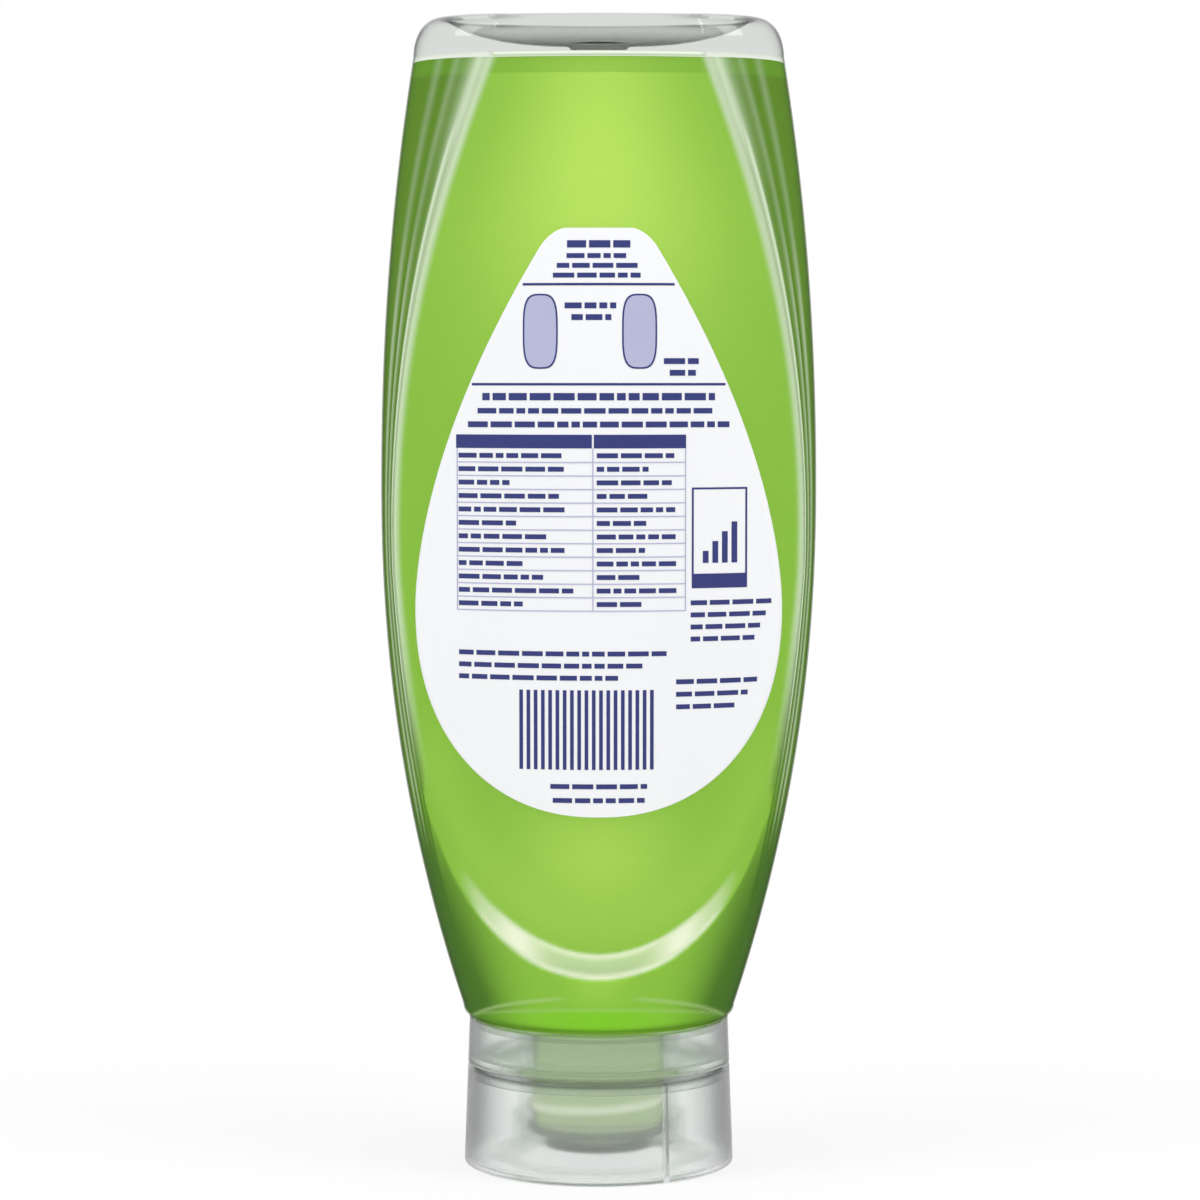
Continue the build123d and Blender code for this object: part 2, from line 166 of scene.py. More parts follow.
def rings(table):
    """Rows of (z, half width, half depth, power, edge share, relief, inset) turned into rings of points: arcs
    through the panel edges, moved in along their own normals by the relief."""
    z, width, depth, power, share, relief, inset = (column[:, None] for column in table.T)
    edge_x = width * share
    edge_y = depth * np.sqrt(1.0 - share**power) ** (2.0 / power)
    sagitta = np.maximum(depth - edge_y, 1e-9)
    broad = (edge_x**2 + sagitta**2) / (2.0 * sagitta)
    tight = ((width - edge_x) ** 2 + edge_y**2) / (2.0 * (width - edge_x))
    front_turn = np.arcsin(np.clip(edge_x / broad, -1.0, 1.0)) * front_share
    side_turn = np.arctan2(edge_y, edge_x - width + tight) * side_share
    front_x = broad * np.sin(front_turn)
    front_y = broad - depth - broad * np.cos(front_turn)
    side_x = width - tight + tight * np.cos(side_turn)
    side_y = -tight * np.sin(side_turn)
    press = relief * panel_sink(z) * ledge_blend(front_x, z, inset)
    run_in = np.clip((z - SCALLOP_FOOT) / SCALLOP_RUN_IN, 0.0, 1.0)
    run_out = np.clip((CROWN - z) / SCALLOP_RUN_OUT, 0.0, 1.0)
    groove = relief * SCALLOP_DEPTH * run_in * run_out * scallop(side_share)
    front_x = front_x - press * np.sin(front_turn)
    front_y = front_y + press * np.cos(front_turn)
    side_x = side_x - groove * np.cos(side_turn)
    side_y = side_y + groove * np.sin(side_turn)
    x = np.concatenate([front_x, side_x, -front_x, -side_x], axis=1)
    y = np.concatenate([front_y, side_y, -front_y, -side_y], axis=1)
    return np.stack([x, y, np.broadcast_to(z, x.shape)], axis=-1)


print("columns per ring:", 2 * (FRONT + SIDE))

# %% [markdown]
# ## Rows for each part of the bottle
# The rings above need a table of sizes. Each part of the bottle has its own short function for that: the
# wall, the corner under it, the corner at the rim, and the push-up in the closed end, which is now on top.
# The inset moves a part in by the wall's thickness, so the same functions give the outside, the inside and
# the soap.

# %% Rows of sizes
SHOULDER_CORNER, CROWN_CORNER = 2.0, 5.2
PUSH_UP_WIDTH, PUSH_UP_DEPTH, PUSH_UP_SINK, PUSH_UP_EDGE = 31.9, 14.6, 5.2, 0.62
LEDGE_TOP = 76.0


def rows(z, width, depth, power, share, relief, inset):
    """Stack single values and arrays into one table of rings."""
    return np.column_stack(np.broadcast_arrays(*np.atleast_1d(z, width, depth, power, share, relief, inset)))


def body_rows(z, inset, corner=0.0):
    """Rings of the body, moved in by the inset and by a rounded corner's inset."""
    move = inset + corner
    return rows(z, half_width(z) - move, half_depth(z) - move, oval_power(z), edge_share(z), 1.0, inset)


def round_rows(z, radius):
    """Plain circles for the neck and the shoulder's spigot."""
    return rows(z, radius, radius, 2.0, edge_share(SHOULDER), 0.0, 0.0)


def wall_levels(fine, coarse):
    """Levels from shoulder to crown, close together round the ledge at the panel's foot."""
    close = np.arange(SHOULDER, LEDGE_TOP, fine)
    return np.concatenate([close, np.arange(LEDGE_TOP, CROWN, coarse), [CROWN]])


def shoulder_rows(inset):
    """Quarter ellipse from the flat floor of the body out to its wall."""
    turn = np.linspace(0.0, 0.5 * np.pi, 8)[:-1]
    z = SHOULDER - (SHOULDER - FLOOR - inset) * np.cos(turn)
    return body_rows(z, inset, SHOULDER_CORNER * (1.0 - np.sin(turn)))


def crown_rows(inset):
    """Quarter ellipse from the wall in to the flat rim on top."""
    turn = np.linspace(0.0, 0.5 * np.pi, 12)[1:]
    return body_rows(CROWN + (TOP - CROWN - inset) * np.sin(turn), inset, CROWN_CORNER * (1.0 - np.cos(turn)))


def push_up_rows(inset):
    """The push-up in the closed end: an oval bowl, and a round gate mark in its middle."""
    share = np.array([1.0, 0.985, 0.965, 0.93, 0.87, 0.78, 0.66, 0.54, 0.42, 0.32])
    sink = (1.0 - share**3.2) ** 0.8
    sink = PUSH_UP_SINK * sink / sink[-1]
    width, depth = PUSH_UP_WIDTH * share + inset, PUSH_UP_DEPTH * share + inset
    bowl = rows(TOP - sink - inset, width, depth, 2.0, PUSH_UP_EDGE, 0.0, 0.0)
    radius = np.array([7.0, 6.2, 5.2, 4.8, 4.0, 2.0, 0.4]) + inset
    sink = PUSH_UP_SINK + np.array([0.0, 0.4, 1.4, 1.7, 1.8, 1.8, 1.8])
    gate = rows(TOP - sink - inset, radius, radius, 2.0, PUSH_UP_EDGE, 0.0, 0.0)
    return np.concatenate([bowl, gate])


print("rings in the push-up:", len(push_up_rows(0.0)), "on the rim:", len(crown_rows(0.0)))

# %% [markdown]
# ## From rings to a closed mesh
# A stack of rings becomes quads between neighbours. The first and last ring each close on one middle point,
# so the mesh has no hole. The ring order runs from the inside of the bottle, round the neck's rim and up
# the outside, which turns every face away from the plastic.

# %% Mesh helpers
def add_mesh(name, points, faces, smooth=True):
    """Mesh object at the origin from points in millimetres and a list of face arrays."""
    mesh = bpy.data.meshes.new(name)
    lists = [row for block in faces for row in block.tolist()]
    mesh.from_pydata((points * MM).tolist(), [], lists)
    mesh.polygons.foreach_set("use_smooth", np.full(len(lists), smooth))
    mesh.update()
    piece = bpy.data.objects.new(name, mesh)
    bpy.context.scene.collection.objects.link(piece)
    return piece


def stack_faces(count, columns):
    """Quads between neighbouring rings, the last column joined to the first."""
    row, column = np.meshgrid(np.arange(count - 1), np.arange(columns), indexing="ij")
    here = row * columns + column
    beside = row * columns + (column + 1) % columns
    return np.stack([here, beside, beside + columns, here + columns], axis=-1).reshape(-1, 4)


def closed_stack(name, stack):
    """Rings joined into one closed skin, with a fan of triangles on both ends."""
    count, columns = stack.shape[:2]
    ends = np.stack([stack[0].mean(axis=0), stack[-1].mean(axis=0)])
    points = np.concatenate([stack.reshape(-1, 3), ends])
    first = np.arange(columns)
    after = (first + 1) % columns
    last = first + (count - 1) * columns
    last_after = after + (count - 1) * columns
    bottom = np.stack([after, first, np.full(columns, count * columns)], axis=-1)
    top = np.stack([last, last_after, np.full(columns, count * columns + 1)], axis=-1)
    return add_mesh(name, points, [stack_faces(count, columns), bottom, top])


print("faces between two rings:", len(stack_faces(2, 2 * (FRONT + SIDE))))

# %% [markdown]
# ## Values on the points
# A mesh can carry numbers on its points, and a material can read them. We use them for tints that belong to
# a place on the bottle. The two curves below, a smooth step and a bell, are all that we need to write them.

# %% Helpers for stored values
def store(piece, name, values):
    """Keep one number per point of the rings on the mesh, and 0 on the two end points."""
    field = piece.data.attributes.new(name, "FLOAT", "POINT")
    field.data.foreach_set("value", np.append(values.ravel(), [0.0, 0.0]).astype(np.float32))


def point_normals(piece, shape):
    """Unit normals of the points in the rings, without the two end points."""
    normals = np.empty(3 * len(piece.data.vertices), dtype=np.float32)
    piece.data.vertices.foreach_get("normal", normals)
    return normals.reshape(-1, 3)[:-2].reshape(*shape, 3)


def ramp(value, start, end):
    """Smooth step from 0 at the start to 1 at the end. The start may be the larger of the two."""
    t = np.clip((value - start) / (end - start), 0.0, 1.0)
    return t * t * (3.0 - 2.0 * t)


def bump(value, middle, width):
    """Bell curve: 1 in the middle and 0.37 one width away from it."""
    return np.exp(-(((value - middle) / width) ** 2))


print("step and bell a quarter of the way:", ramp(0.25, 0.0, 1.0), bump(0.25, 0.0, 1.0).round(3))

# %% [markdown]
# ## The clear bottle
# The mould makes body, shoulder, neck and thread in one shot, so they are one mesh. The thread is a ridge
# pressed out along a helix: the distance of a point from the helix, along the axis, sets how far it stands
# out.

# %% Thread
NECK_END, NECK_RADIUS, NECK_BORE, NECK_RINGS, SPIGOT_FOOT = 8.4, 14.0, 13.6, 36, 29.4
THREAD_START, THREAD_PITCH, THREAD_TURNS = NECK_END + 2.0, 4.0, 1.5
THREAD_HALF, THREAD_FLANK, THREAD_HEIGHT = 1.2, 0.6, 1.1


def ridge(stack):
    """The helical thread: 1 on its flat crest, sloping to 0 at its half width from its middle line."""
    turn = np.arctan2(stack[..., 1], stack[..., 0]) % (2.0 * np.pi)
    out = np.zeros_like(turn)
    for lap in (0, 1):
        along = turn / (2.0 * np.pi) + lap
        away = np.abs(stack[..., 2] - THREAD_START - THREAD_PITCH * along)
        height = np.clip((THREAD_HALF - away) / THREAD_FLANK, 0.0, 1.0)
        out = np.maximum(out, np.where(along <= THREAD_TURNS, height, 0.0))
    return out


def thread(stack, height):
    """Press the ridge out from round rings."""
    scale = 1.0 + height * ridge(stack) / np.hypot(stack[..., 0], stack[..., 1])
    return stack * np.stack([scale, scale, np.ones_like(scale)], axis=-1)


neck_levels = np.linspace(NECK_END, SPIGOT_FOOT, NECK_RINGS)
neck = thread(rings(round_rows(neck_levels, NECK_RADIUS)), THREAD_HEIGHT)
print("neck with thread, widest radius:", np.hypot(neck[..., 0], neck[..., 1]).max().round(2))

# %% [markdown]
# The whole bottle is one stack of rings, from the middle of the push-up inside, down to the neck's rim and
# back up outside. One stack gives one closed skin, so there is no seam to join.

# %% Bottle mesh
WALL, SPIGOT_RADIUS, SPIGOT_CHAMFER, NECK_CHAMFER = 0.2, 25.8, 0.3, 0.3
FLOOR_INSIDE, WEB_TOP, NECK_TOP, NECK_MIDDLE = FLOOR + 0.4, FLOOR - 1.2, FLOOR - 1.6, FLOOR - 10.0
inside = np.concatenate(
    [
        push_up_rows(WALL)[::-1],
        crown_rows(WALL)[::-1],
        body_rows(wall_levels(2.0, 6.0), WALL)[::-1],
        shoulder_rows(WALL)[::-1],
        round_rows(np.array([FLOOR_INSIDE, WEB_TOP]), SPIGOT_RADIUS - WALL),
        round_rows(np.array([WEB_TOP, NECK_TOP]), np.array([NECK_BORE + NECK_CHAMFER, NECK_BORE])),
        round_rows(np.array([NECK_MIDDLE, NECK_END]), NECK_BORE),
    ]
)
outside = np.concatenate(
    [
        round_rows(SPIGOT_FOOT, SPIGOT_RADIUS - SPIGOT_CHAMFER),
        round_rows(SPIGOT_FOOT + SPIGOT_CHAMFER, SPIGOT_RADIUS),
        round_rows(np.array([WEB_TOP, FLOOR]), SPIGOT_RADIUS),
        shoulder_rows(0.0),
        body_rows(wall_levels(0.65, 2.8), 0.0),
        crown_rows(0.0),
        push_up_rows(0.0),
    ]
)
bottle_stack = np.concatenate([rings(inside), neck, rings(outside)])
bottle = closed_stack("clear_bottle", bottle_stack)
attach(bottle, "bottle")
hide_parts("bottle")
print("bottle faces:", len(bottle.data.polygons))

# %% [markdown]
# The clear wall isn't painted evenly: the bowl of the push-up gets painted shade, grey where it is deep and
# along its brink, and the empty wall over the fill line is painted a little grey. An upright wall is dark
# where
# it is seen edge on: green with soap behind it and grey without. We store these places on the bottle's
# points.

# %% Tints and painted shade of the clear wall
FILL = 233.4
x, y, z = np.moveaxis(bottle_stack, -1, 0)
in_bowl = ((x / PUSH_UP_WIDTH) ** 2 + (y / PUSH_UP_DEPTH) ** 2 < 1.08) & (z > FILL)
# Painted shade: grey in the deep bowl, along its brink, and a little on the dry wall over the soap.
bowl_floor_shade = 0.5 * ramp(TOP - z, 3.6, 5.0)
bowl_brink_shade = bump(TOP - z, 0.3, 0.5) * ramp(np.abs(x), 12.0, 29.0)
over_soap_shade = 0.1 * ramp(z, FILL, FILL + 1.5)
steepness = 1.0 - np.abs(point_normals(bottle, z.shape)[..., 2])
store(bottle, "bowl", in_bowl * np.maximum(bowl_floor_shade, bowl_brink_shade) + over_soap_shade)
store(bottle, "wet", z < FILL)
store(bottle, "upright", ramp(steepness, 0.2, 0.6))
print("points in the bowl:", int(in_bowl.sum()), "of", in_bowl.size)

# %% [markdown]
# ## The soap
# The soap fills the same form, one wall and a hair's breadth further in, up to the fill line. Liquid climbs
# a little at the wall, so its top has a small raised edge. The levels just under the fill line are close
# together, because a crisp band of painted shade lies there.

# %% Soap mesh
HAIR = 0.1
SOAP_INSET, SOAP_BORE = WALL + HAIR, NECK_BORE - HAIR
CLIMB, CLIMB_REACH = 0.7, 1.2
surface_share = np.array([0.995, 0.985, 0.965, 0.93, 0.8, 0.5, 0.2, 0.02])
climb = CLIMB * np.exp(-(1.0 - surface_share) * HALF_WIDTH / CLIMB_REACH)
fill_levels = FILL + np.array([-4.2, -3.4, -3.2, -1.6, 0.0, 0.05, 1.2])
levels = wall_levels(0.45, 2.8)
levels = np.concatenate([levels[levels < fill_levels[0]], fill_levels])
surface_rows = rows(
    FILL + climb,
    (half_width(FILL) - SOAP_INSET) * surface_share,
    (half_depth(FILL) - SOAP_INSET) * surface_share,
    oval_power(FILL),
    edge_share(FILL),
    0.0,
    0.0,
)
soap_neck = np.concatenate(
    [
        round_rows(NECK_END, np.array([0.2, 6.0, SOAP_BORE])),
        round_rows(np.arange(NECK_END + 0.8, NECK_TOP, 0.5), SOAP_BORE),
    ]
)
soap_body = np.concatenate(
    [
        round_rows(WEB_TOP + HAIR, np.array([SOAP_BORE + NECK_CHAMFER, SPIGOT_RADIUS - SOAP_INSET])),
        round_rows(FLOOR_INSIDE, SPIGOT_RADIUS - SOAP_INSET),
        shoulder_rows(SOAP_INSET),
        body_rows(levels, SOAP_INSET),
        surface_rows,
    ]
)
soap_stack = np.concatenate([thread(rings(soap_neck), THREAD_HEIGHT - HAIR), rings(soap_body)])
soap = closed_stack("green_soap", soap_stack)
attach(soap, "bottle")
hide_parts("soap")
print("soap faces:", len(soap.data.polygons))

# %% [markdown]
# ## Light and shade in the soap
# Thick coloured liquid takes long to trace, so we paint its light and shade into its colour instead. We store
# on its points where it glows, where it looks deep and is painted darker, and where a ridge or the ledge gets
# a painted highlight. These values come from each point's own place and slope. They belong to the soap and
# don't follow the camera. First come the painted highlights: pale lines along the panel's edge, along the
# ridges between the scallops, and on the ledge, which faces up and catches the light.

# %% Painted highlights in the soap
# Each pair says where a fade starts and where it ends.
BRINK_RISE, RIDGE_RISE, RIDGE_END, BROAD_RISE = (76.0, 125.0), (76.0, 112.0), (230.0, 214.0), (196.0, 222.0)
LINE_RISE, LINE_WANE, LINE_WIDTH = (66.0, 84.0), (205.0, 175.0), 0.035
LEDGE_FADE, LEDGE_ENDS, RIM_FADE = (80.0, 72.0), (30.0, 24.0), (60.0, 54.0)
SIDE_REACH = 9.0
x, z = soap_stack[..., 0], soap_stack[..., 2]
aside = np.abs(x)
on_side = np.concatenate([np.zeros(FRONT), np.ones(SIDE), np.zeros(FRONT), np.ones(SIDE)])[None, :]
share = np.abs(np.concatenate([front_share, side_share, front_share, side_share]))[None, :]
edge_gap = (1.0 - share) * np.where(on_side > 0, SIDE_REACH, half_width(z) * edge_share(z))
# Painted highlights along the panel's edge, on the first ridge and in a broad streak near the top.
brink = 0.75 * bump(edge_gap, 0.0, 0.9) * ramp(z, *BRINK_RISE)
first_ridge_highlight = on_side * bump(share, RIDGES[1], 0.028) * ramp(z, *RIDGE_RISE) * ramp(z, *RIDGE_END)
broad = on_side * (0.45 * bump(share, 0.93, 0.1) + 0.4 * bump(share, 0.93, 0.04)) * ramp(z, *BROAD_RISE)
ridge_highlight_strength = on_side * ramp(z, *LINE_RISE) * (0.45 + 0.55 * ramp(z, *LINE_WANE))
panel = ledge_blend(x, z, SOAP_INSET) * (1.0 - on_side)
slope = panel * (1.0 - panel)
# Painted highlight on the ledge and on its rims.
ledge = np.clip(6.0 * slope, 0.0, 1.0) * ramp(z, *LEDGE_FADE) * ramp(aside, *LEDGE_ENDS)
ledge_rim_highlights = np.clip(12.0 * slope, 0.0, 1.0) * (1.0 - bump(panel, 0.5, 0.3)) * ramp(z, *RIM_FADE)
# All three fields are painted highlights.
fields = {
    "lines": ridge_highlight_strength * sum(bump(share, level, LINE_WIDTH) for level in RIDGES[2:]),
    "edge": np.maximum(np.maximum(first_ridge_highlight, brink), broad),
    "ledge": np.maximum(ledge * (0.41 + 0.59 * bump(aside, 17.0, 4.8)), ledge_rim_highlights),
}
print("pale fields:", sorted(fields))

# %% [markdown]
# Next come the painted glow and the painted shade. The soap is painted to glow in the middle, above and below
# the label, as light that enters behind it would make it. Walls that turn away and the narrow sides are
# painted darker, as if deep, and near the foot darker still. At the bottom a painted oval disc of brighter
# green shows where we see down on the floor of the bottle, with a painted pale rim round it.

# %% Painted glow and shade in the soap
STRIP_FADE, SIDE_RISE, FOOT_FALL, FLOOR_FALL = (100.0, 85.0), (60.0, 90.0), (88.0, 60.0), (48.0, 34.0)
DISC_HALF, DISC_NEAR, DISC_FAR, DISC_LINE = 27.0, 4.8, 8.4, 0.35
turned_away = 1.0 - np.abs(point_normals(soap, x.shape)[..., 1])
# Painted glow in the middle of the soap, and painted shade on walls that turn away.
inner_strip = bump(outline_distance(x, z), -3.0, 5.0) * panel * ramp(z, *STRIP_FADE)
upper_glow = bump(x / (25.0 - 9.0 * ramp(z, 190.0, FILL)), 0.0, 1.0) * bump(z, 208.0, 42.0)
lower_glow = 0.6 * bump(x, 0.0, 17.0) * bump(z, 68.0, 14.0) + 0.18 * inner_strip
foot_glow = 0.35 * bump(x, 0.0, 6.0) * bump(z, 41.5, 4.0)
foot_shade = ramp(turned_away, 0.06, 0.42) * ramp(z, *FOOT_FALL) * (1.0 - panel)
# Painted light: a brighter disc where the bottle's floor shows, with a painted pale rim.
oval = np.sqrt(np.clip(1.0 - (x / DISC_HALF) ** 2, 0.0, 1.0))
over_disc = z - FLOOR_INSIDE - DISC_NEAR * oval
far_rim_highlight = bump(z - FLOOR + 0.7 - DISC_FAR * oval, 0.0, DISC_LINE) * ramp(aside, 5.0, 11.0)
floor_light = 0.35 * ramp(z, *FLOOR_FALL) + 0.65 * ramp(over_disc, 0.3, -0.3)
# Glow and foot are painted light and the disc's rim a painted highlight. The rest is painted shade.
fields |= {
    "glow": upper_glow + lower_glow + foot_glow,
    "foot": floor_light * (0.3 + 0.7 * bump(x, 0.0, 15.0)),
    "disc_rim_highlight": np.maximum(0.5 * bump(over_disc, 0.0, DISC_LINE), far_rim_highlight),
    "painted_shade": np.maximum(ramp(turned_away, 0.3, 0.6), on_side * ramp(z, *SIDE_RISE)),
    "painted_foot_shade": foot_shade * np.maximum(ramp(over_disc, -0.6, 0.6), 0.6),
    "under_fill_shade": ramp(z, FILL - 3.4, FILL - 3.2),
}
on_top = np.arange(len(soap_stack))[:, None] >= len(soap_stack) - len(surface_share)
on_wall = (z > FLOOR + 0.5) & (z < FILL + 0.01) & ~on_top
for name, values in fields.items():
    store(soap, name, values * on_wall)
# Painted light: pale soap in the neck with painted highlights on the thread's crest, and a painted pale line
# where the soap climbs.
store(soap, "neck", (z < FLOOR - 2.0) * (0.54 + 0.46 * ridge(soap_stack)))
store(soap, "meniscus_highlight", np.where(on_top, 1.4 * (z - FILL), z > FILL + 0.02))
print("fields on the soap:", sorted(fields))

# %% [markdown]
# ## The labels
# A label is a film that lies on the panel. Its outline is a leaf: a superellipse below its widest level and
# a power curve above, cut flat at the top with round corners. The film is a closed sheet: each row runs
# along its face and comes back along its underside. Front and back labels have the same outline.

# %% Label films
LABEL_FOOT, LABEL_WIDE, LABEL_TOP, LABEL_HALF = 76.7, 119.6, 198.1, 38.3
LABEL_POWER, LABEL_TAPER, LABEL_CORNER, CORNER_INSET = 2.25, 28.6, 4.0, 3.0
FILM_GAP, FILM, FILM_ROWS, FILM_COLUMNS = 0.06, 0.12, 100, 61


def panel_y(x, z):
    """The panel's surface: the broad arc of that level with the sink taken from its radius."""
    share = edge_share(z)
    power = oval_power(z)
    edge_x = half_width(z) * share
    sagitta = half_depth(z) * (1.0 - np.sqrt(1.0 - share**power) ** (2.0 / power))
    broad = (edge_x**2 + sagitta**2) / (2.0 * sagitta)
    return broad - half_depth(z) - np.sqrt((broad - panel_sink(z)) ** 2 - x**2)


def label_half(z):
    """Half width of the leaf at a level."""
    under = np.clip((LABEL_WIDE - z) / (LABEL_WIDE - LABEL_FOOT), 0.0, 1.0)
    over = np.clip((z - LABEL_WIDE) / (LABEL_TOP - LABEL_WIDE), 0.0, 1.0)
    corner = np.clip((z - LABEL_TOP + LABEL_CORNER) / LABEL_CORNER, 0.0, 1.0)
    leaf = LABEL_HALF * (1.0 - under**LABEL_POWER) ** (1.0 / LABEL_POWER) - LABEL_TAPER * over**1.72
    return leaf - CORNER_INSET * (1.0 - np.sqrt(1.0 - corner**2))


def film(name, side):
    """Closed thin sheet on one panel; side is 1 for the -Y panel and -1 for the other."""
    turn = 0.5 - 0.5 * np.cos(np.linspace(0.0, np.pi, FILM_ROWS))
    z = (LABEL_FOOT + (LABEL_TOP - LABEL_FOOT) * turn)[:, None]
    across = np.linspace(-1.0, 1.0, FILM_COLUMNS)
    x = np.maximum(label_half(z), 0.05) * np.concatenate([across, across[::-1]])[None, :]
    lift = np.repeat([FILM_GAP + FILM, FILM_GAP], FILM_COLUMNS)[None, :]
    y = panel_y(x, z) - lift
    points = np.stack([side * x, side * y, np.broadcast_to(z, x.shape)], axis=-1)
    count, columns = points.shape[:2]
    pairs = np.arange(FILM_COLUMNS - 1)
    strip = np.stack([pairs, columns - 1 - pairs, columns - 2 - pairs, pairs + 1], axis=-1)
    ends = [strip, strip[:, ::-1] + (count - 1) * columns]
    return add_mesh(name, points.reshape(-1, 3), [stack_faces(count, columns)] + ends)


back_label = film("back_film", 1.0)
front_label = film("front_film", -1.0)
for label, node in ((back_label, "back_label"), (front_label, "front_label")):
    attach(label, "bottle")
    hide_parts(node)
print("label faces:", len(back_label.data.polygons), len(front_label.data.polygons))

# %% [markdown]
# ## Print on the labels
# Printed ink is a layer of its own on the film. Each mark is a rectangle or a rounded shape in the label's
# plane, cut into short columns so that it follows the panel's curve. It lies a twentieth of a millimetre
# over the film, and a second colour on top of it a little higher. All marks of one colour are one mesh.

# %% Printed marks
PRINT_LIFT, OVERPRINT_LIFT, INK = 0.05, 0.08, 0.02
MARK_STEP, ROUND_STEP = 2.0, 0.5
SWEEP = 0.498 * np.pi


def grid_faces(count, columns, start):
    """Quads of one open grid."""
    row, column = np.meshgrid(np.arange(count - 1), np.arange(columns - 1), indexing="ij")
    here = row * columns + column + start
    return np.stack([here, here + 1, here + columns + 1, here + columns], axis=-1).reshape(-1, 4)


def marks(shapes, side, lift):
    """Points and quads of many marks (x0, x1, z0, z1, power). A power rounds the mark to a superellipse;
    0 leaves it a rectangle. Levels count from the label's foot and follow a sine. Side is 1 for the
    -Y label."""
    points, faces, start = [], [], 0
    for x0, x1, z0, z1, power in shapes:
        columns = int(np.ceil((x1 - x0) / MARK_STEP)) + 2
        count = int(np.ceil((z1 - z0) / (ROUND_STEP if power else MARK_STEP))) + 2
        v = np.sin(np.linspace(-SWEEP, SWEEP, count))[:, None]
        wide = (1.0 - np.abs(v) ** power) ** (1.0 / power) if power else 1.0
        x = 0.5 * (x0 + x1) + 0.5 * (x1 - x0) * wide * np.linspace(-1.0, 1.0, columns)[None, :]
        x = np.broadcast_to(x, (count, columns))
        z = np.broadcast_to(LABEL_FOOT + 0.5 * (z0 + z1) + 0.5 * (z1 - z0) * v, x.shape)
        y = panel_y(x, z) - FILM_GAP - FILM - lift
        points.append(np.stack([side * x, side * y, z], axis=-1).reshape(-1, 3))
        faces.append(grid_faces(count, columns, start))
        start += count * columns
    return np.concatenate(points), faces


def plain(boxes):
    """Rectangles as marks."""
    return [(*box, 0.0) for box in boxes]


def ink(name, shapes, side=1.0, lift=PRINT_LIFT):
    """One colour of print on a label: all its marks as one mesh, made a closed layer by a thickness."""
    layer = add_mesh(name, *marks(shapes, side, lift), smooth=False)
    thickness = layer.modifiers.new("thickness", "SOLIDIFY")
    thickness.thickness = INK * MM
    thickness.offset = -1.0
    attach(layer, "bottle")
    return layer


print("faces of one small mark:", len(marks(plain([(0.0, 4.0, 20.0, 21.0)]), 1.0, PRINT_LIFT)[1][0]))

# %% [markdown]
# The back label has plain marks in navy: rules, rows of short bars, a table, a block of even stripes and a
# framed tile. The bars' lengths come from a sine of a running number, which looks irregular but is the same
# each time.

# %% Rows of bars
BAR, NOTE_BAR = 1.0, 1.2
BAR_SHORTEST, BAR_SPREAD, BAR_GAP, BAR_LEAST = 1.4, 3.0, 0.6, 1.2


def bars(x0, x1, z, height, seed):
    """A line of short bars from x0 to x1 with even gaps. A length is the shortest one plus the spread times
    the size of a sine of the bar's running number."""
    boxes = []
    x, k = x0, seed
    while x < x1 - BAR_LEAST:
        length = BAR_SHORTEST + BAR_SPREAD * abs(np.sin(12.9898 * k + 4.1414))
        boxes.append((x, min(x + length, x1), z - 0.5 * height, z + 0.5 * height))
        x += length + BAR_GAP
        k += 1
    return boxes


def block(x0, x1, shorter, z, step, lines, seed):
    """Lines of bars one under the other, each a little shorter than the last."""
    return [box for k in range(lines) for box in bars(x0, x1 - shorter * k, z - step * k, BAR, seed + 7 * k)]


centred = ((6.5, 118.1, 1.5, 0), (6.6, 115.7, BAR, 3), (8.6, 113.7, BAR, 6), (9.4, 111.7, BAR, 9))
centred += ((24.0, 86.8, 1.5, 20), (25.0, 83.9, 1.1, 25), (27.0, 81.1, 1.2, 30))
centred += ((10.0, 6.4, BAR, 230), (9.5, 3.5, BAR, 240))
navy_boxes = [(-15.6, 15.6, 109.6, 110.1), (-26.2, 26.2, 89.1, 89.6)]
for half, z, height, seed in centred:
    navy_boxes += bars(-half, half, z, height, seed)
navy_boxes += block(-29.0, 14.0, 5.0, 33.9, 2.5, 3, 140)
navy_boxes += block(19.0, 36.0, 1.2, 44.3, 2.5, 4, 170)
navy_boxes += block(16.0, 33.0, 2.0, 28.0, 2.6, 3, 200)
navy_boxes += bars(-7.0, 3.6, 105.5, NOTE_BAR, 300) + bars(-5.6, 2.6, 103.1, NOTE_BAR, 310)
navy_boxes += bars(13.4, 20.6, 94.1, NOTE_BAR, 320) + bars(14.6, 20.0, 91.7, NOTE_BAR, 330)
print("bars and rules:", len(navy_boxes))

# %% [markdown]
# The table, the stripes and the tiles are rectangles too, placed by loops over rows and columns. Two tiles
# have round corners: a navy shape with a pale one on it, a little smaller, which leaves a thin navy rim.

# %% Table, stripes and tiles
TABLE_TOP, TABLE_FOOT, TABLE_HEAD, TABLE_ROWS, FIRST_ROW, ROW_STEP = 76.2, 42.7, 79.0, 12, 74.7, 2.78
TABLE_LEFT, TABLE_MIDDLE, TABLE_RIGHT = -29.4, -1.3, 18.0
HAIRLINE, FRAME_LINE = 0.2, 0.4
STRIPE, STRIPE_STEP, STRIPES, STRIPES_LEFT, STRIPES_FOOT, STRIPES_TOP = 0.75, 1.5, 19, -16.4, 9.9, 26.4
TILE_LEFT, TILE_RIGHT, TILE_FOOT, TILE_TOP, TILE_BASE = 19.2, 30.8, 47.3, 68.1, 3.0
CHART_LEFT, CHART_FOOT, CHART_BAR, CHART_FIRST, CHART_STEP, CHART_BARS = 21.5, 52.5, 1.2, 2.5, 2.0, 4
PEBBLE_LINE, PEBBLE_POWER = 0.35, 3.4
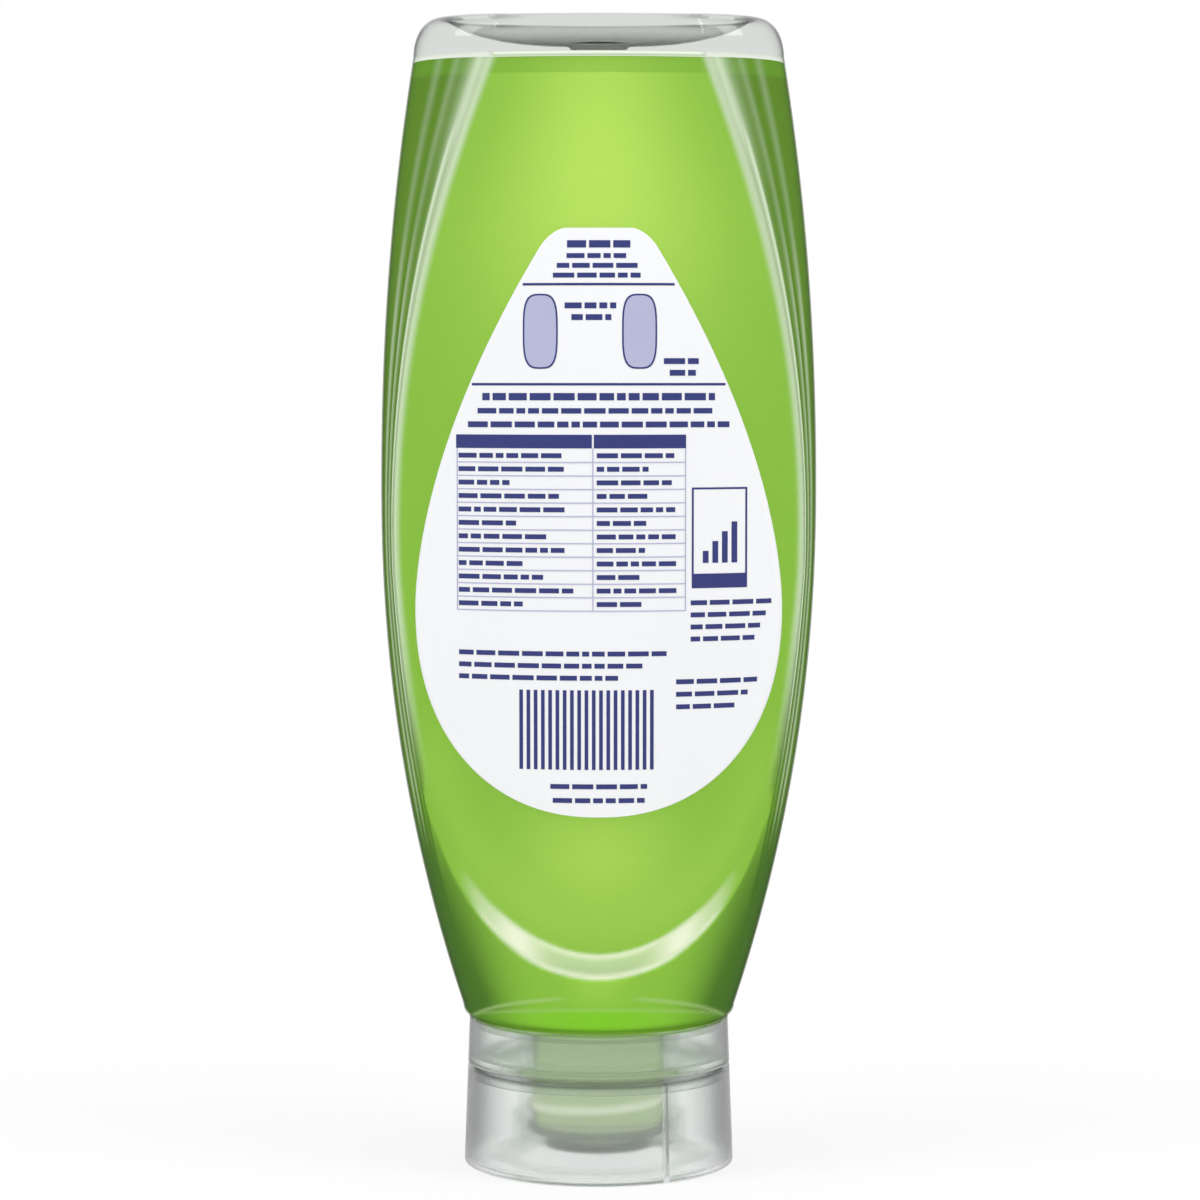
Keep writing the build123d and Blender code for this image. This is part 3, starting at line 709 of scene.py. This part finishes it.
navy_boxes += [(-29.5, -1.4, TABLE_TOP, TABLE_HEAD), (-1.0, TABLE_RIGHT, TABLE_TOP, TABLE_HEAD)]
for k in range(TABLE_ROWS):
    level = FIRST_ROW - ROW_STEP * k
    navy_boxes += bars(-29.0, -20.0 + 15.0 * abs(np.sin(7.3 * k + 1.0)), level, BAR, 40 + 4 * k)
    navy_boxes += bars(-0.4, 6.0 + 10.5 * abs(np.sin(4.7 * k + 2.0)), level, BAR, 90 + 4 * k)
stripe_places = STRIPES_LEFT + STRIPE_STEP * np.arange(STRIPES)
navy_boxes += [(place, place + STRIPE, STRIPES_FOOT, STRIPES_TOP) for place in stripe_places]
navy_boxes += [
    (TILE_LEFT, TILE_RIGHT, TILE_TOP - FRAME_LINE, TILE_TOP),
    (TILE_LEFT, TILE_RIGHT, TILE_FOOT, TILE_FOOT + TILE_BASE),
    (TILE_LEFT, TILE_LEFT + FRAME_LINE, TILE_FOOT, TILE_TOP),
    (TILE_RIGHT - FRAME_LINE, TILE_RIGHT, TILE_FOOT, TILE_TOP),
]
for step in CHART_STEP * np.arange(CHART_BARS):
    left = CHART_LEFT + step
    navy_boxes.append((left, left + CHART_BAR, CHART_FOOT, CHART_FOOT + CHART_FIRST + step))
row_lines = TABLE_TOP - ROW_STEP * np.arange(1, TABLE_ROWS + 1)
column_lines = (TABLE_LEFT, TABLE_MIDDLE, TABLE_RIGHT - HAIRLINE)
pale_boxes = [(TABLE_LEFT, TABLE_RIGHT, level - HAIRLINE, level) for level in row_lines]
pale_boxes += [(place, place + HAIRLINE, TABLE_FOOT, TABLE_TOP) for place in column_lines]
pebbles = np.array([(-15.6, -8.4, 92.5, 107.9), (4.8, 12.0, 92.5, 107.9)])
inward = PEBBLE_LINE * np.array([1.0, -1.0, 1.0, -1.0])
pebble_rims = [(*pebble, PEBBLE_POWER) for pebble in pebbles]
pebble_fills = [(*pebble, PEBBLE_POWER) for pebble in pebbles + inward]
navy_print = ink("navy_print", plain(navy_boxes) + pebble_rims)
pale_print = ink("pale_print", plain(pale_boxes) + pebble_fills, lift=OVERPRINT_LIFT)
print("navy marks:", len(navy_boxes) + len(pebble_rims), "pale marks:", len(pale_boxes) + len(pebble_fills))

# %% [markdown]
# The front label has plain fields of colour: a ring of teal round a white field, and two lime shapes. They
# are made by the same functions, turned half round to the +Y panel.

# %% Fields of colour on the front label
front_fields = (
    ("teal_field", [(-29.0, 29.0, 28.5, 74.5, 2.6)], PRINT_LIFT),
    ("white_field", [(-24.5, 24.5, 34.5, 68.5, 2.2)], OVERPRINT_LIFT),
    ("lime_leaf", [(-9.0, 9.0, 76.5, 112.5, 1.6), (-20.0, 20.0, 8.5, 21.5, 2.4)], PRINT_LIFT),
)
front_prints = {}
for name, shapes, lift in front_fields:
    front_prints[name] = ink(name, shapes, -1.0, lift)
print("front fields:", sorted(front_prints))

# %% [markdown]
# ## Materials
# Every finish here is a small graph of nodes. Most helpers below add one node and hand back its output, so a
# graph reads like a formula. Unevenness comes from a noise on the object's own coordinates.

# %% Material helpers
def linear(*rgb):
    """Screen values 0 to 255 turned into linear light."""
    value = np.array(rgb) / 255.0
    value = np.where(value <= 0.04045, value / 12.92, ((value + 0.055) / 1.055) ** 2.4)
    return (*value.tolist(), 1.0)


def new_material(name):
    """A material with its node tree, its main shader and its output."""
    material = bpy.data.materials.new(name)
    material.use_nodes = True
    tree = material.node_tree
    return material, tree, tree.nodes["Principled BSDF"], tree.nodes["Material Output"]


def feed(tree, socket, value):
    """Set a socket to a number or a colour, or link another node's output to it."""
    if isinstance(value, (int, float, tuple)):
        socket.default_value = value
    else:
        tree.links.new(value, socket)


def math_node(tree, operation, first, second=0.0):
    """One operation on one or two numbers."""
    node = tree.nodes.new("ShaderNodeMath")
    node.operation = operation
    feed(tree, node.inputs[0], first)
    feed(tree, node.inputs[1], second)
    return node.outputs[0]


def mix_colour(tree, share, first, second):
    """The first colour where the share is 0 and the second where it is 1."""
    node = tree.nodes.new("ShaderNodeMix")
    node.data_type = "RGBA"
    feed(tree, node.inputs[0], share)
    feed(tree, node.inputs[6], first)
    feed(tree, node.inputs[7], second)
    return node.outputs[2]


def mix_shader(tree, share, first, second):
    """The first shader where the share is 0 and the second where it is 1."""
    node = tree.nodes.new("ShaderNodeMixShader")
    for socket, value in zip(node.inputs, (share, first, second)):
        feed(tree, socket, value)
    return node.outputs[0]


def smooth_range(tree, value, start, end, low=0.0):
    """Smooth step of a value from low at the start to 1 at the end."""
    node = tree.nodes.new("ShaderNodeMapRange")
    node.interpolation_type = "SMOOTHSTEP"
    node.inputs["From Min"].default_value = start
    node.inputs["From Max"].default_value = end
    node.inputs["To Min"].default_value = low
    tree.links.new(value, node.inputs["Value"])
    return node.outputs[0]


print("middle grey in linear light:", round(linear(128, 128, 128)[0], 3))

# %% [markdown]
# The next helpers read something from the surface: a point's place on the object, a noise at that place, a
# number that we stored there, or how far it is turned from the eye. Patterns use the first three only, so
# they stay in place when the bottle turns.

# %% More material helpers
def place_on_object(tree):
    """Each point's own place on the object, in metres."""
    return tree.nodes.new("ShaderNodeTexCoord").outputs["Object"]


def noise(tree, scale, low, high):
    """Fine unevenness from place on the object, between two values."""
    cloud = tree.nodes.new("ShaderNodeTexNoise")
    cloud.inputs["Scale"].default_value = scale
    tree.links.new(place_on_object(tree), cloud.inputs["Vector"])
    ranged = tree.nodes.new("ShaderNodeMapRange")
    ranged.inputs["To Min"].default_value = low
    ranged.inputs["To Max"].default_value = high
    tree.links.new(cloud.outputs[0], ranged.inputs["Value"])
    return ranged.outputs[0]


def facing(tree):
    """0 seen square on, 1 seen edge on."""
    node = tree.nodes.new("ShaderNodeLayerWeight")
    node.inputs["Blend"].default_value = 0.5
    return node.outputs["Facing"]


def stored(tree, name):
    """A number that was stored on the mesh's points."""
    node = tree.nodes.new("ShaderNodeAttribute")
    node.attribute_name = name
    return node.outputs["Fac"]


def parts_of(tree, vector):
    """The X, Y and Z of a vector."""
    node = tree.nodes.new("ShaderNodeSeparateXYZ")
    tree.links.new(vector, node.inputs[0])
    return node.outputs


def dress(piece, material):
    """Make this the piece's one material."""
    piece.data.materials.clear()
    piece.data.materials.append(material)


print("materials so far:", len(bpy.data.materials))

# %% [markdown]
# ### Clear plastic
# A wall this thin hardly bends light. So it is a sheet that lets light straight through and mirrors a
# little, more towards its edges. Seen edge on it is dark: grey where it is dry and green where soap lies
# behind it.

# %% Clear plastic
clear, tree, principled, output = new_material("clear_plastic")
tree.nodes.remove(principled)
edge = facing(tree)
mirror_share = math_node(tree, "MULTIPLY", math_node(tree, "POWER", edge, 5.0), 0.03)
mirror_share = math_node(tree, "ADD", mirror_share, 0.016)
rim_tint = mix_colour(tree, stored(tree, "wet"), (0.2, 0.21, 0.2, 1.0), (0.14, 0.24, 0.03, 1.0))
standing = math_node(tree, "ADD", math_node(tree, "MULTIPLY", stored(tree, "upright"), 0.55), 0.45)
rim_share = math_node(tree, "MULTIPLY", math_node(tree, "POWER", edge, 7.0), standing)
tint = mix_colour(tree, rim_share, (0.96, 0.965, 0.96, 1.0), rim_tint)
# Painted shade: the push-up's bowl and the dry wall over the soap are tinted grey.
bowl_shade_share = math_node(tree, "MULTIPLY", stored(tree, "bowl"), 0.8)
tint = mix_colour(tree, bowl_shade_share, tint, (0.4, 0.41, 0.4, 1.0))
through = tree.nodes.new("ShaderNodeBsdfTransparent")
tree.links.new(tint, through.inputs["Color"])
gloss = tree.nodes.new("ShaderNodeBsdfGlossy")
tree.links.new(noise(tree, 40.0, 0.05, 0.08), gloss.inputs["Roughness"])
wall_shader = mix_shader(tree, mirror_share, through.outputs[0], gloss.outputs[0])
tree.links.new(wall_shader, output.inputs["Surface"])
dress(bottle, clear)
print("clear plastic nodes:", len(tree.nodes))

# %% [markdown]
# ### Green soap
# The soap starts from one green. Each stored field then mixes in its own tone of painted light and shade, in
# this order, so a painted highlight lies over painted shade and not under it. Half of the colour is lit from
# outside and half is a painted glow that shines by itself, in place of the light that comes through the
# liquid.

# %% Green soap
green, tree, principled, output = new_material("green_soap")
# Every tone below is painted: the pale and bright ones are painted glow and highlights, the dark ones painted
# shade.
tones = (
    ("glow", 1.0, (192, 236, 96)),
    ("painted_shade", 0.92, (86, 131, 6)),
    ("foot", 0.8, (130, 214, 4)),
    ("painted_foot_shade", 0.95, (64, 112, 2)),
    ("disc_rim_highlight", 0.6, (184, 212, 140)),
    ("under_fill_shade", 0.42, (112, 172, 36)),
    ("lines", 0.75, (190, 208, 172)),
    ("ledge", 0.97, (250, 255, 228)),
    ("edge", 1.0, (228, 243, 212)),
    ("neck", 1.0, (244, 255, 222)),
    ("meniscus_highlight", 1.0, (248, 252, 242)),
)
colour = linear(141, 197, 58)
for field, strength, tone in tones:
    amount = math_node(tree, "MULTIPLY", stored(tree, field), strength)
    colour = mix_colour(tree, amount, colour, linear(*tone))
tree.links.new(mix_colour(tree, 0.5, colour, (0.0, 0.0, 0.0, 1.0)), principled.inputs["Base Color"])
# Painted glow: the same colour also shines as emission, though the soap is no lamp.
tree.links.new(colour, principled.inputs["Emission Color"])
principled.inputs["Emission Strength"].default_value = 0.545
tree.links.new(noise(tree, 25.0, 0.45, 0.55), principled.inputs["Roughness"])
principled.inputs["Specular IOR Level"].default_value = 0.0
dress(soap, green)
print("tones in the soap:", len(tones))

# %% [markdown]
# ### Labels and print
# Film and ink are smooth plastic. Each drifts a little between two near tones, and its gloss drifts too, so
# that no surface is one flat colour.

# %% Labels and print
def plain_plastic(name, first, second, scale, rough_low, rough_high):
    """Plastic whose colour drifts a little between two tones."""
    material, tree, principled, output = new_material(name)
    colour = mix_colour(tree, noise(tree, scale, 0.0, 1.0), linear(*first), linear(*second))
    tree.links.new(colour, principled.inputs["Base Color"])
    tree.links.new(noise(tree, 3.0 * scale, rough_low, rough_high), principled.inputs["Roughness"])
    return material


print_finishes = (
    (back_label, "white_film", (252, 252, 253), (246, 247, 249), 30.0, 0.35, 0.45),
    (front_label, "front_film", (244, 249, 238), (236, 244, 226), 20.0, 0.35, 0.45),
    (navy_print, "navy_ink", (34, 44, 112), (38, 48, 118), 60.0, 0.45, 0.55),
    (pale_print, "pale_ink", (178, 180, 212), (186, 188, 218), 60.0, 0.45, 0.55),
    (front_prints["teal_field"], "teal_ink", (24, 104, 120), (30, 116, 132), 25.0, 0.4, 0.5),
    (front_prints["white_field"], "white_ink", (248, 250, 250), (240, 245, 244), 25.0, 0.4, 0.5),
    (front_prints["lime_leaf"], "lime_ink", (150, 200, 60), (132, 186, 50), 25.0, 0.4, 0.5),
)
for piece, *finish in print_finishes:
    dress(piece, plain_plastic(*finish))
print("films and inks:", len(print_finishes))

# %% [markdown]
# ### Frosted cap
# The cap is clear plastic with a frosted outside, which blurs the neck behind it. We look through its outer
# wall, so that wall is rough see-through plastic with painted shade along its edges and a painted shadow in
# the gap between its two tiers. The walls inside it, and the soft valve and gasket, are a thin clear sheet
# with a veil of white.

# %% Cap and valve
OUTER_WALL, GAP_LEVEL, GAP_REACH, GAP_CORE = 23.0, 21.2, 1.6, 0.5
FROST_LOW, FROST_HIGH = 0.17, 0.23


def hazy(tree):
    """Thin clear plastic with a veil of white, stronger where it is seen edge on."""
    through = tree.nodes.new("ShaderNodeBsdfTransparent")
    through.inputs["Color"].default_value = (0.97, 0.975, 0.97, 1.0)
    veil = tree.nodes.new("ShaderNodeBsdfDiffuse")
    white = mix_colour(tree, noise(tree, 60.0, 0.0, 1.0), linear(244, 246, 245), linear(236, 239, 238))
    tree.links.new(white, veil.inputs["Color"])
    share = math_node(tree, "MULTIPLY", math_node(tree, "POWER", facing(tree), 3.0), 0.3)
    share = math_node(tree, "ADD", share, 0.08)
    return mix_shader(tree, share, through.outputs[0], veil.outputs[0])


def frosted(name, tone, edge_shade_tone, edge_start, edge_end):
    """Frosted beyond the outer wall's radius and hazy inside it. The frosted wall gets painted shade where it
    is upright and seen edge on, and a painted shadow near the level of the gap between the tiers."""
    material, tree, principled, output = new_material(name)
    x, y, z = parts_of(tree, place_on_object(tree))
    radius_squared = math_node(
        tree, "ADD", math_node(tree, "POWER", x, 2.0), math_node(tree, "POWER", y, 2.0)
    )
    outer = math_node(tree, "GREATER_THAN", radius_squared, (OUTER_WALL * MM) ** 2)
    away = math_node(tree, "ABSOLUTE", math_node(tree, "SUBTRACT", z, GAP_LEVEL * MM))
    gap_shadow = smooth_range(tree, away, GAP_REACH * MM, GAP_CORE * MM)
    geometry = tree.nodes.new("ShaderNodeNewGeometry")
    tilt = math_node(tree, "ABSOLUTE", parts_of(tree, geometry.outputs["Normal"])[2])
    upright = math_node(tree, "LESS_THAN", tilt, 0.5)
    # Painted shade where the wall is upright and seen edge on, and a painted shadow in the gap between the
    # tiers.
    painted_shade = math_node(tree, "MULTIPLY", smooth_range(tree, facing(tree), edge_start, edge_end), upright)
    painted_shade = math_node(tree, "MAXIMUM", painted_shade, math_node(tree, "MULTIPLY", gap_shadow, 0.45))
    tree.links.new(mix_colour(tree, painted_shade, linear(*tone), linear(*edge_shade_tone)), principled.inputs["Base Color"])
    tree.links.new(noise(tree, 90.0, FROST_LOW, FROST_HIGH), principled.inputs["Roughness"])
    principled.inputs["Transmission Weight"].default_value = 0.95
    principled.inputs["IOR"].default_value = 1.25
    shader = mix_shader(tree, outer, hazy(tree), principled.outputs[0])
    tree.links.new(shader, output.inputs["Surface"])
    return material


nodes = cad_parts
dress(nodes["cap_collar"], frosted("frosted_collar", (238, 242, 240), (30, 33, 32), 0.44, 0.85))
dress(nodes["cap_foot"], frosted("frosted_foot", (249, 251, 250), (44, 48, 46), 0.16, 0.98))
for node in ("valve", "valve_retainer", "neck_gasket"):
    soft, tree, principled, output = new_material(node)
    tree.nodes.remove(principled)
    tree.links.new(hazy(tree), output.inputs["Surface"])
    dress(nodes[node], soft)
seal = plain_plastic("seal_film", (236, 239, 241), (226, 230, 233), 50.0, 0.3, 0.4)
dress(nodes["peel_seal"], seal)
print("materials in all:", len(bpy.data.materials))

# %% [markdown]
# ## Studio
# The bottle stands on a pale floor under two soft boxes, left and right, and an even grey sky. The floor
# and the sky look white to the camera and in mirrors and clear plastic, but they light the bottle only as
# much as a plain room would. The floor keeps a little of the bottle's shadow close to it.

# %% Floor
STAGE_HALF = 6.0
SHADOW_NEAR, SHADOW_FAR, SHADOW_WHITE = 0.03, 0.25, 0.8


def seen_directly(tree):
    """1 for rays from the camera, a mirror or clear plastic, and 0 for rays that carry light."""
    path = tree.nodes.new("ShaderNodeLightPath").outputs
    seen = math_node(tree, "MAXIMUM", path["Is Camera Ray"], path["Is Transmission Ray"])
    return math_node(tree, "MAXIMUM", seen, path["Is Glossy Ray"])


quarters = ((-1.0, -1.0), (1.0, -1.0), (1.0, 1.0), (-1.0, 1.0))
corners = [(STAGE_HALF * x, STAGE_HALF * y, 0.0) for x, y in quarters]
floor_mesh = bpy.data.meshes.new("floor")
floor_mesh.from_pydata(corners, [], [(0, 1, 2, 3)])
floor = bpy.data.objects.new("floor", floor_mesh)
bpy.context.scene.collection.objects.link(floor)
pale, tree, principled, output = new_material("pale_floor")
white = mix_colour(tree, noise(tree, 2.0, 0.0, 1.0), linear(250, 250, 250), linear(248, 248, 248))
tree.links.new(white, principled.inputs["Base Color"])
principled.inputs["Roughness"].default_value = 0.9
principled.inputs["Specular IOR Level"].default_value = 0.0
glow = tree.nodes.new("ShaderNodeEmission")
glow.inputs["Color"].default_value = (1.0, 1.0, 1.0, 1.0)
length = tree.nodes.new("ShaderNodeVectorMath")
length.operation = "LENGTH"
tree.links.new(place_on_object(tree), length.inputs[0])
far = smooth_range(tree, length.outputs["Value"], SHADOW_NEAR, SHADOW_FAR, SHADOW_WHITE)
white_share = math_node(tree, "MULTIPLY", seen_directly(tree), far)
floor_shader = mix_shader(tree, white_share, principled.outputs[0], glow.outputs[0])
tree.links.new(floor_shader, output.inputs["Surface"])
dress(floor, pale)
print("floor corners:", corners)

# %% [markdown]
# A soft box is a large square lamp. Its size makes the edges of shadows soft, so two of them and an even
# sky are enough, and no shadow looks hard.

# %% Sky and soft boxes
ROOM_GREY = (0.585, 0.588, 0.592, 1.0)
LAMP_ASIDE, LAMP_FORWARD, LAMP_LEVEL, LAMP_SIZE, LAMP_POWER = 0.55, -0.3, 0.82, 0.36, 3.2
LAMP_TARGET = (0.0, 0.0, 0.06)
world = bpy.data.worlds.new("studio")
bpy.context.scene.world = world
world.use_nodes = True
tree = world.node_tree
background = tree.nodes["Background"]
sky = mix_colour(tree, seen_directly(tree), ROOM_GREY, (1.0, 1.0, 1.0, 1.0))
tree.links.new(sky, background.inputs["Color"])
background.inputs["Strength"].default_value = 1.0


def soft_box(name, place, target):
    """Square soft light, turned towards a point."""
    lamp = bpy.data.lights.new(name, "AREA")
    lamp.shape = "RECTANGLE"
    lamp.size = LAMP_SIZE
    lamp.size_y = LAMP_SIZE
    lamp.energy = LAMP_POWER
    light = bpy.data.objects.new(name, lamp)
    bpy.context.scene.collection.objects.link(light)
    light.location = place
    light.rotation_euler = mathutils.Vector(np.subtract(target, place)).to_track_quat("-Z", "Y").to_euler()
    return light


for side in (-1.0, 1.0):
    box = soft_box("overhead", (LAMP_ASIDE * side, LAMP_FORWARD, LAMP_LEVEL), LAMP_TARGET)
    print("soft box at", tuple(round(v, 2) for v in box.location))

# %% [markdown]
# ## Camera
# The camera is placed from the photograph: a long lens, a little above the middle of the bottle and tilted
# down to it. Standard view keeps the colours as they are written.

# %% Camera
CAMERA_ASIDE, CAMERA_DISTANCE, CAMERA_LEVEL, TARGET_LEVEL = 0.00027, 0.829, 0.1679, 0.1202
camera_data = bpy.data.cameras.new("camera")
camera_data.lens = 117.2
camera_data.sensor_width = 36.0
camera_data.clip_end = 50.0
camera = bpy.data.objects.new("camera", camera_data)
bpy.context.scene.collection.objects.link(camera)
camera.location = (CAMERA_ASIDE, -CAMERA_DISTANCE, CAMERA_LEVEL)
camera.rotation_euler = (np.pi / 2.0 - np.arctan2(CAMERA_LEVEL - TARGET_LEVEL, CAMERA_DISTANCE), 0.0, 0.0)
bpy.context.scene.camera = camera
bpy.context.scene.view_settings.view_transform = "Standard"
print("camera at", tuple(round(v, 4) for v in camera.location))
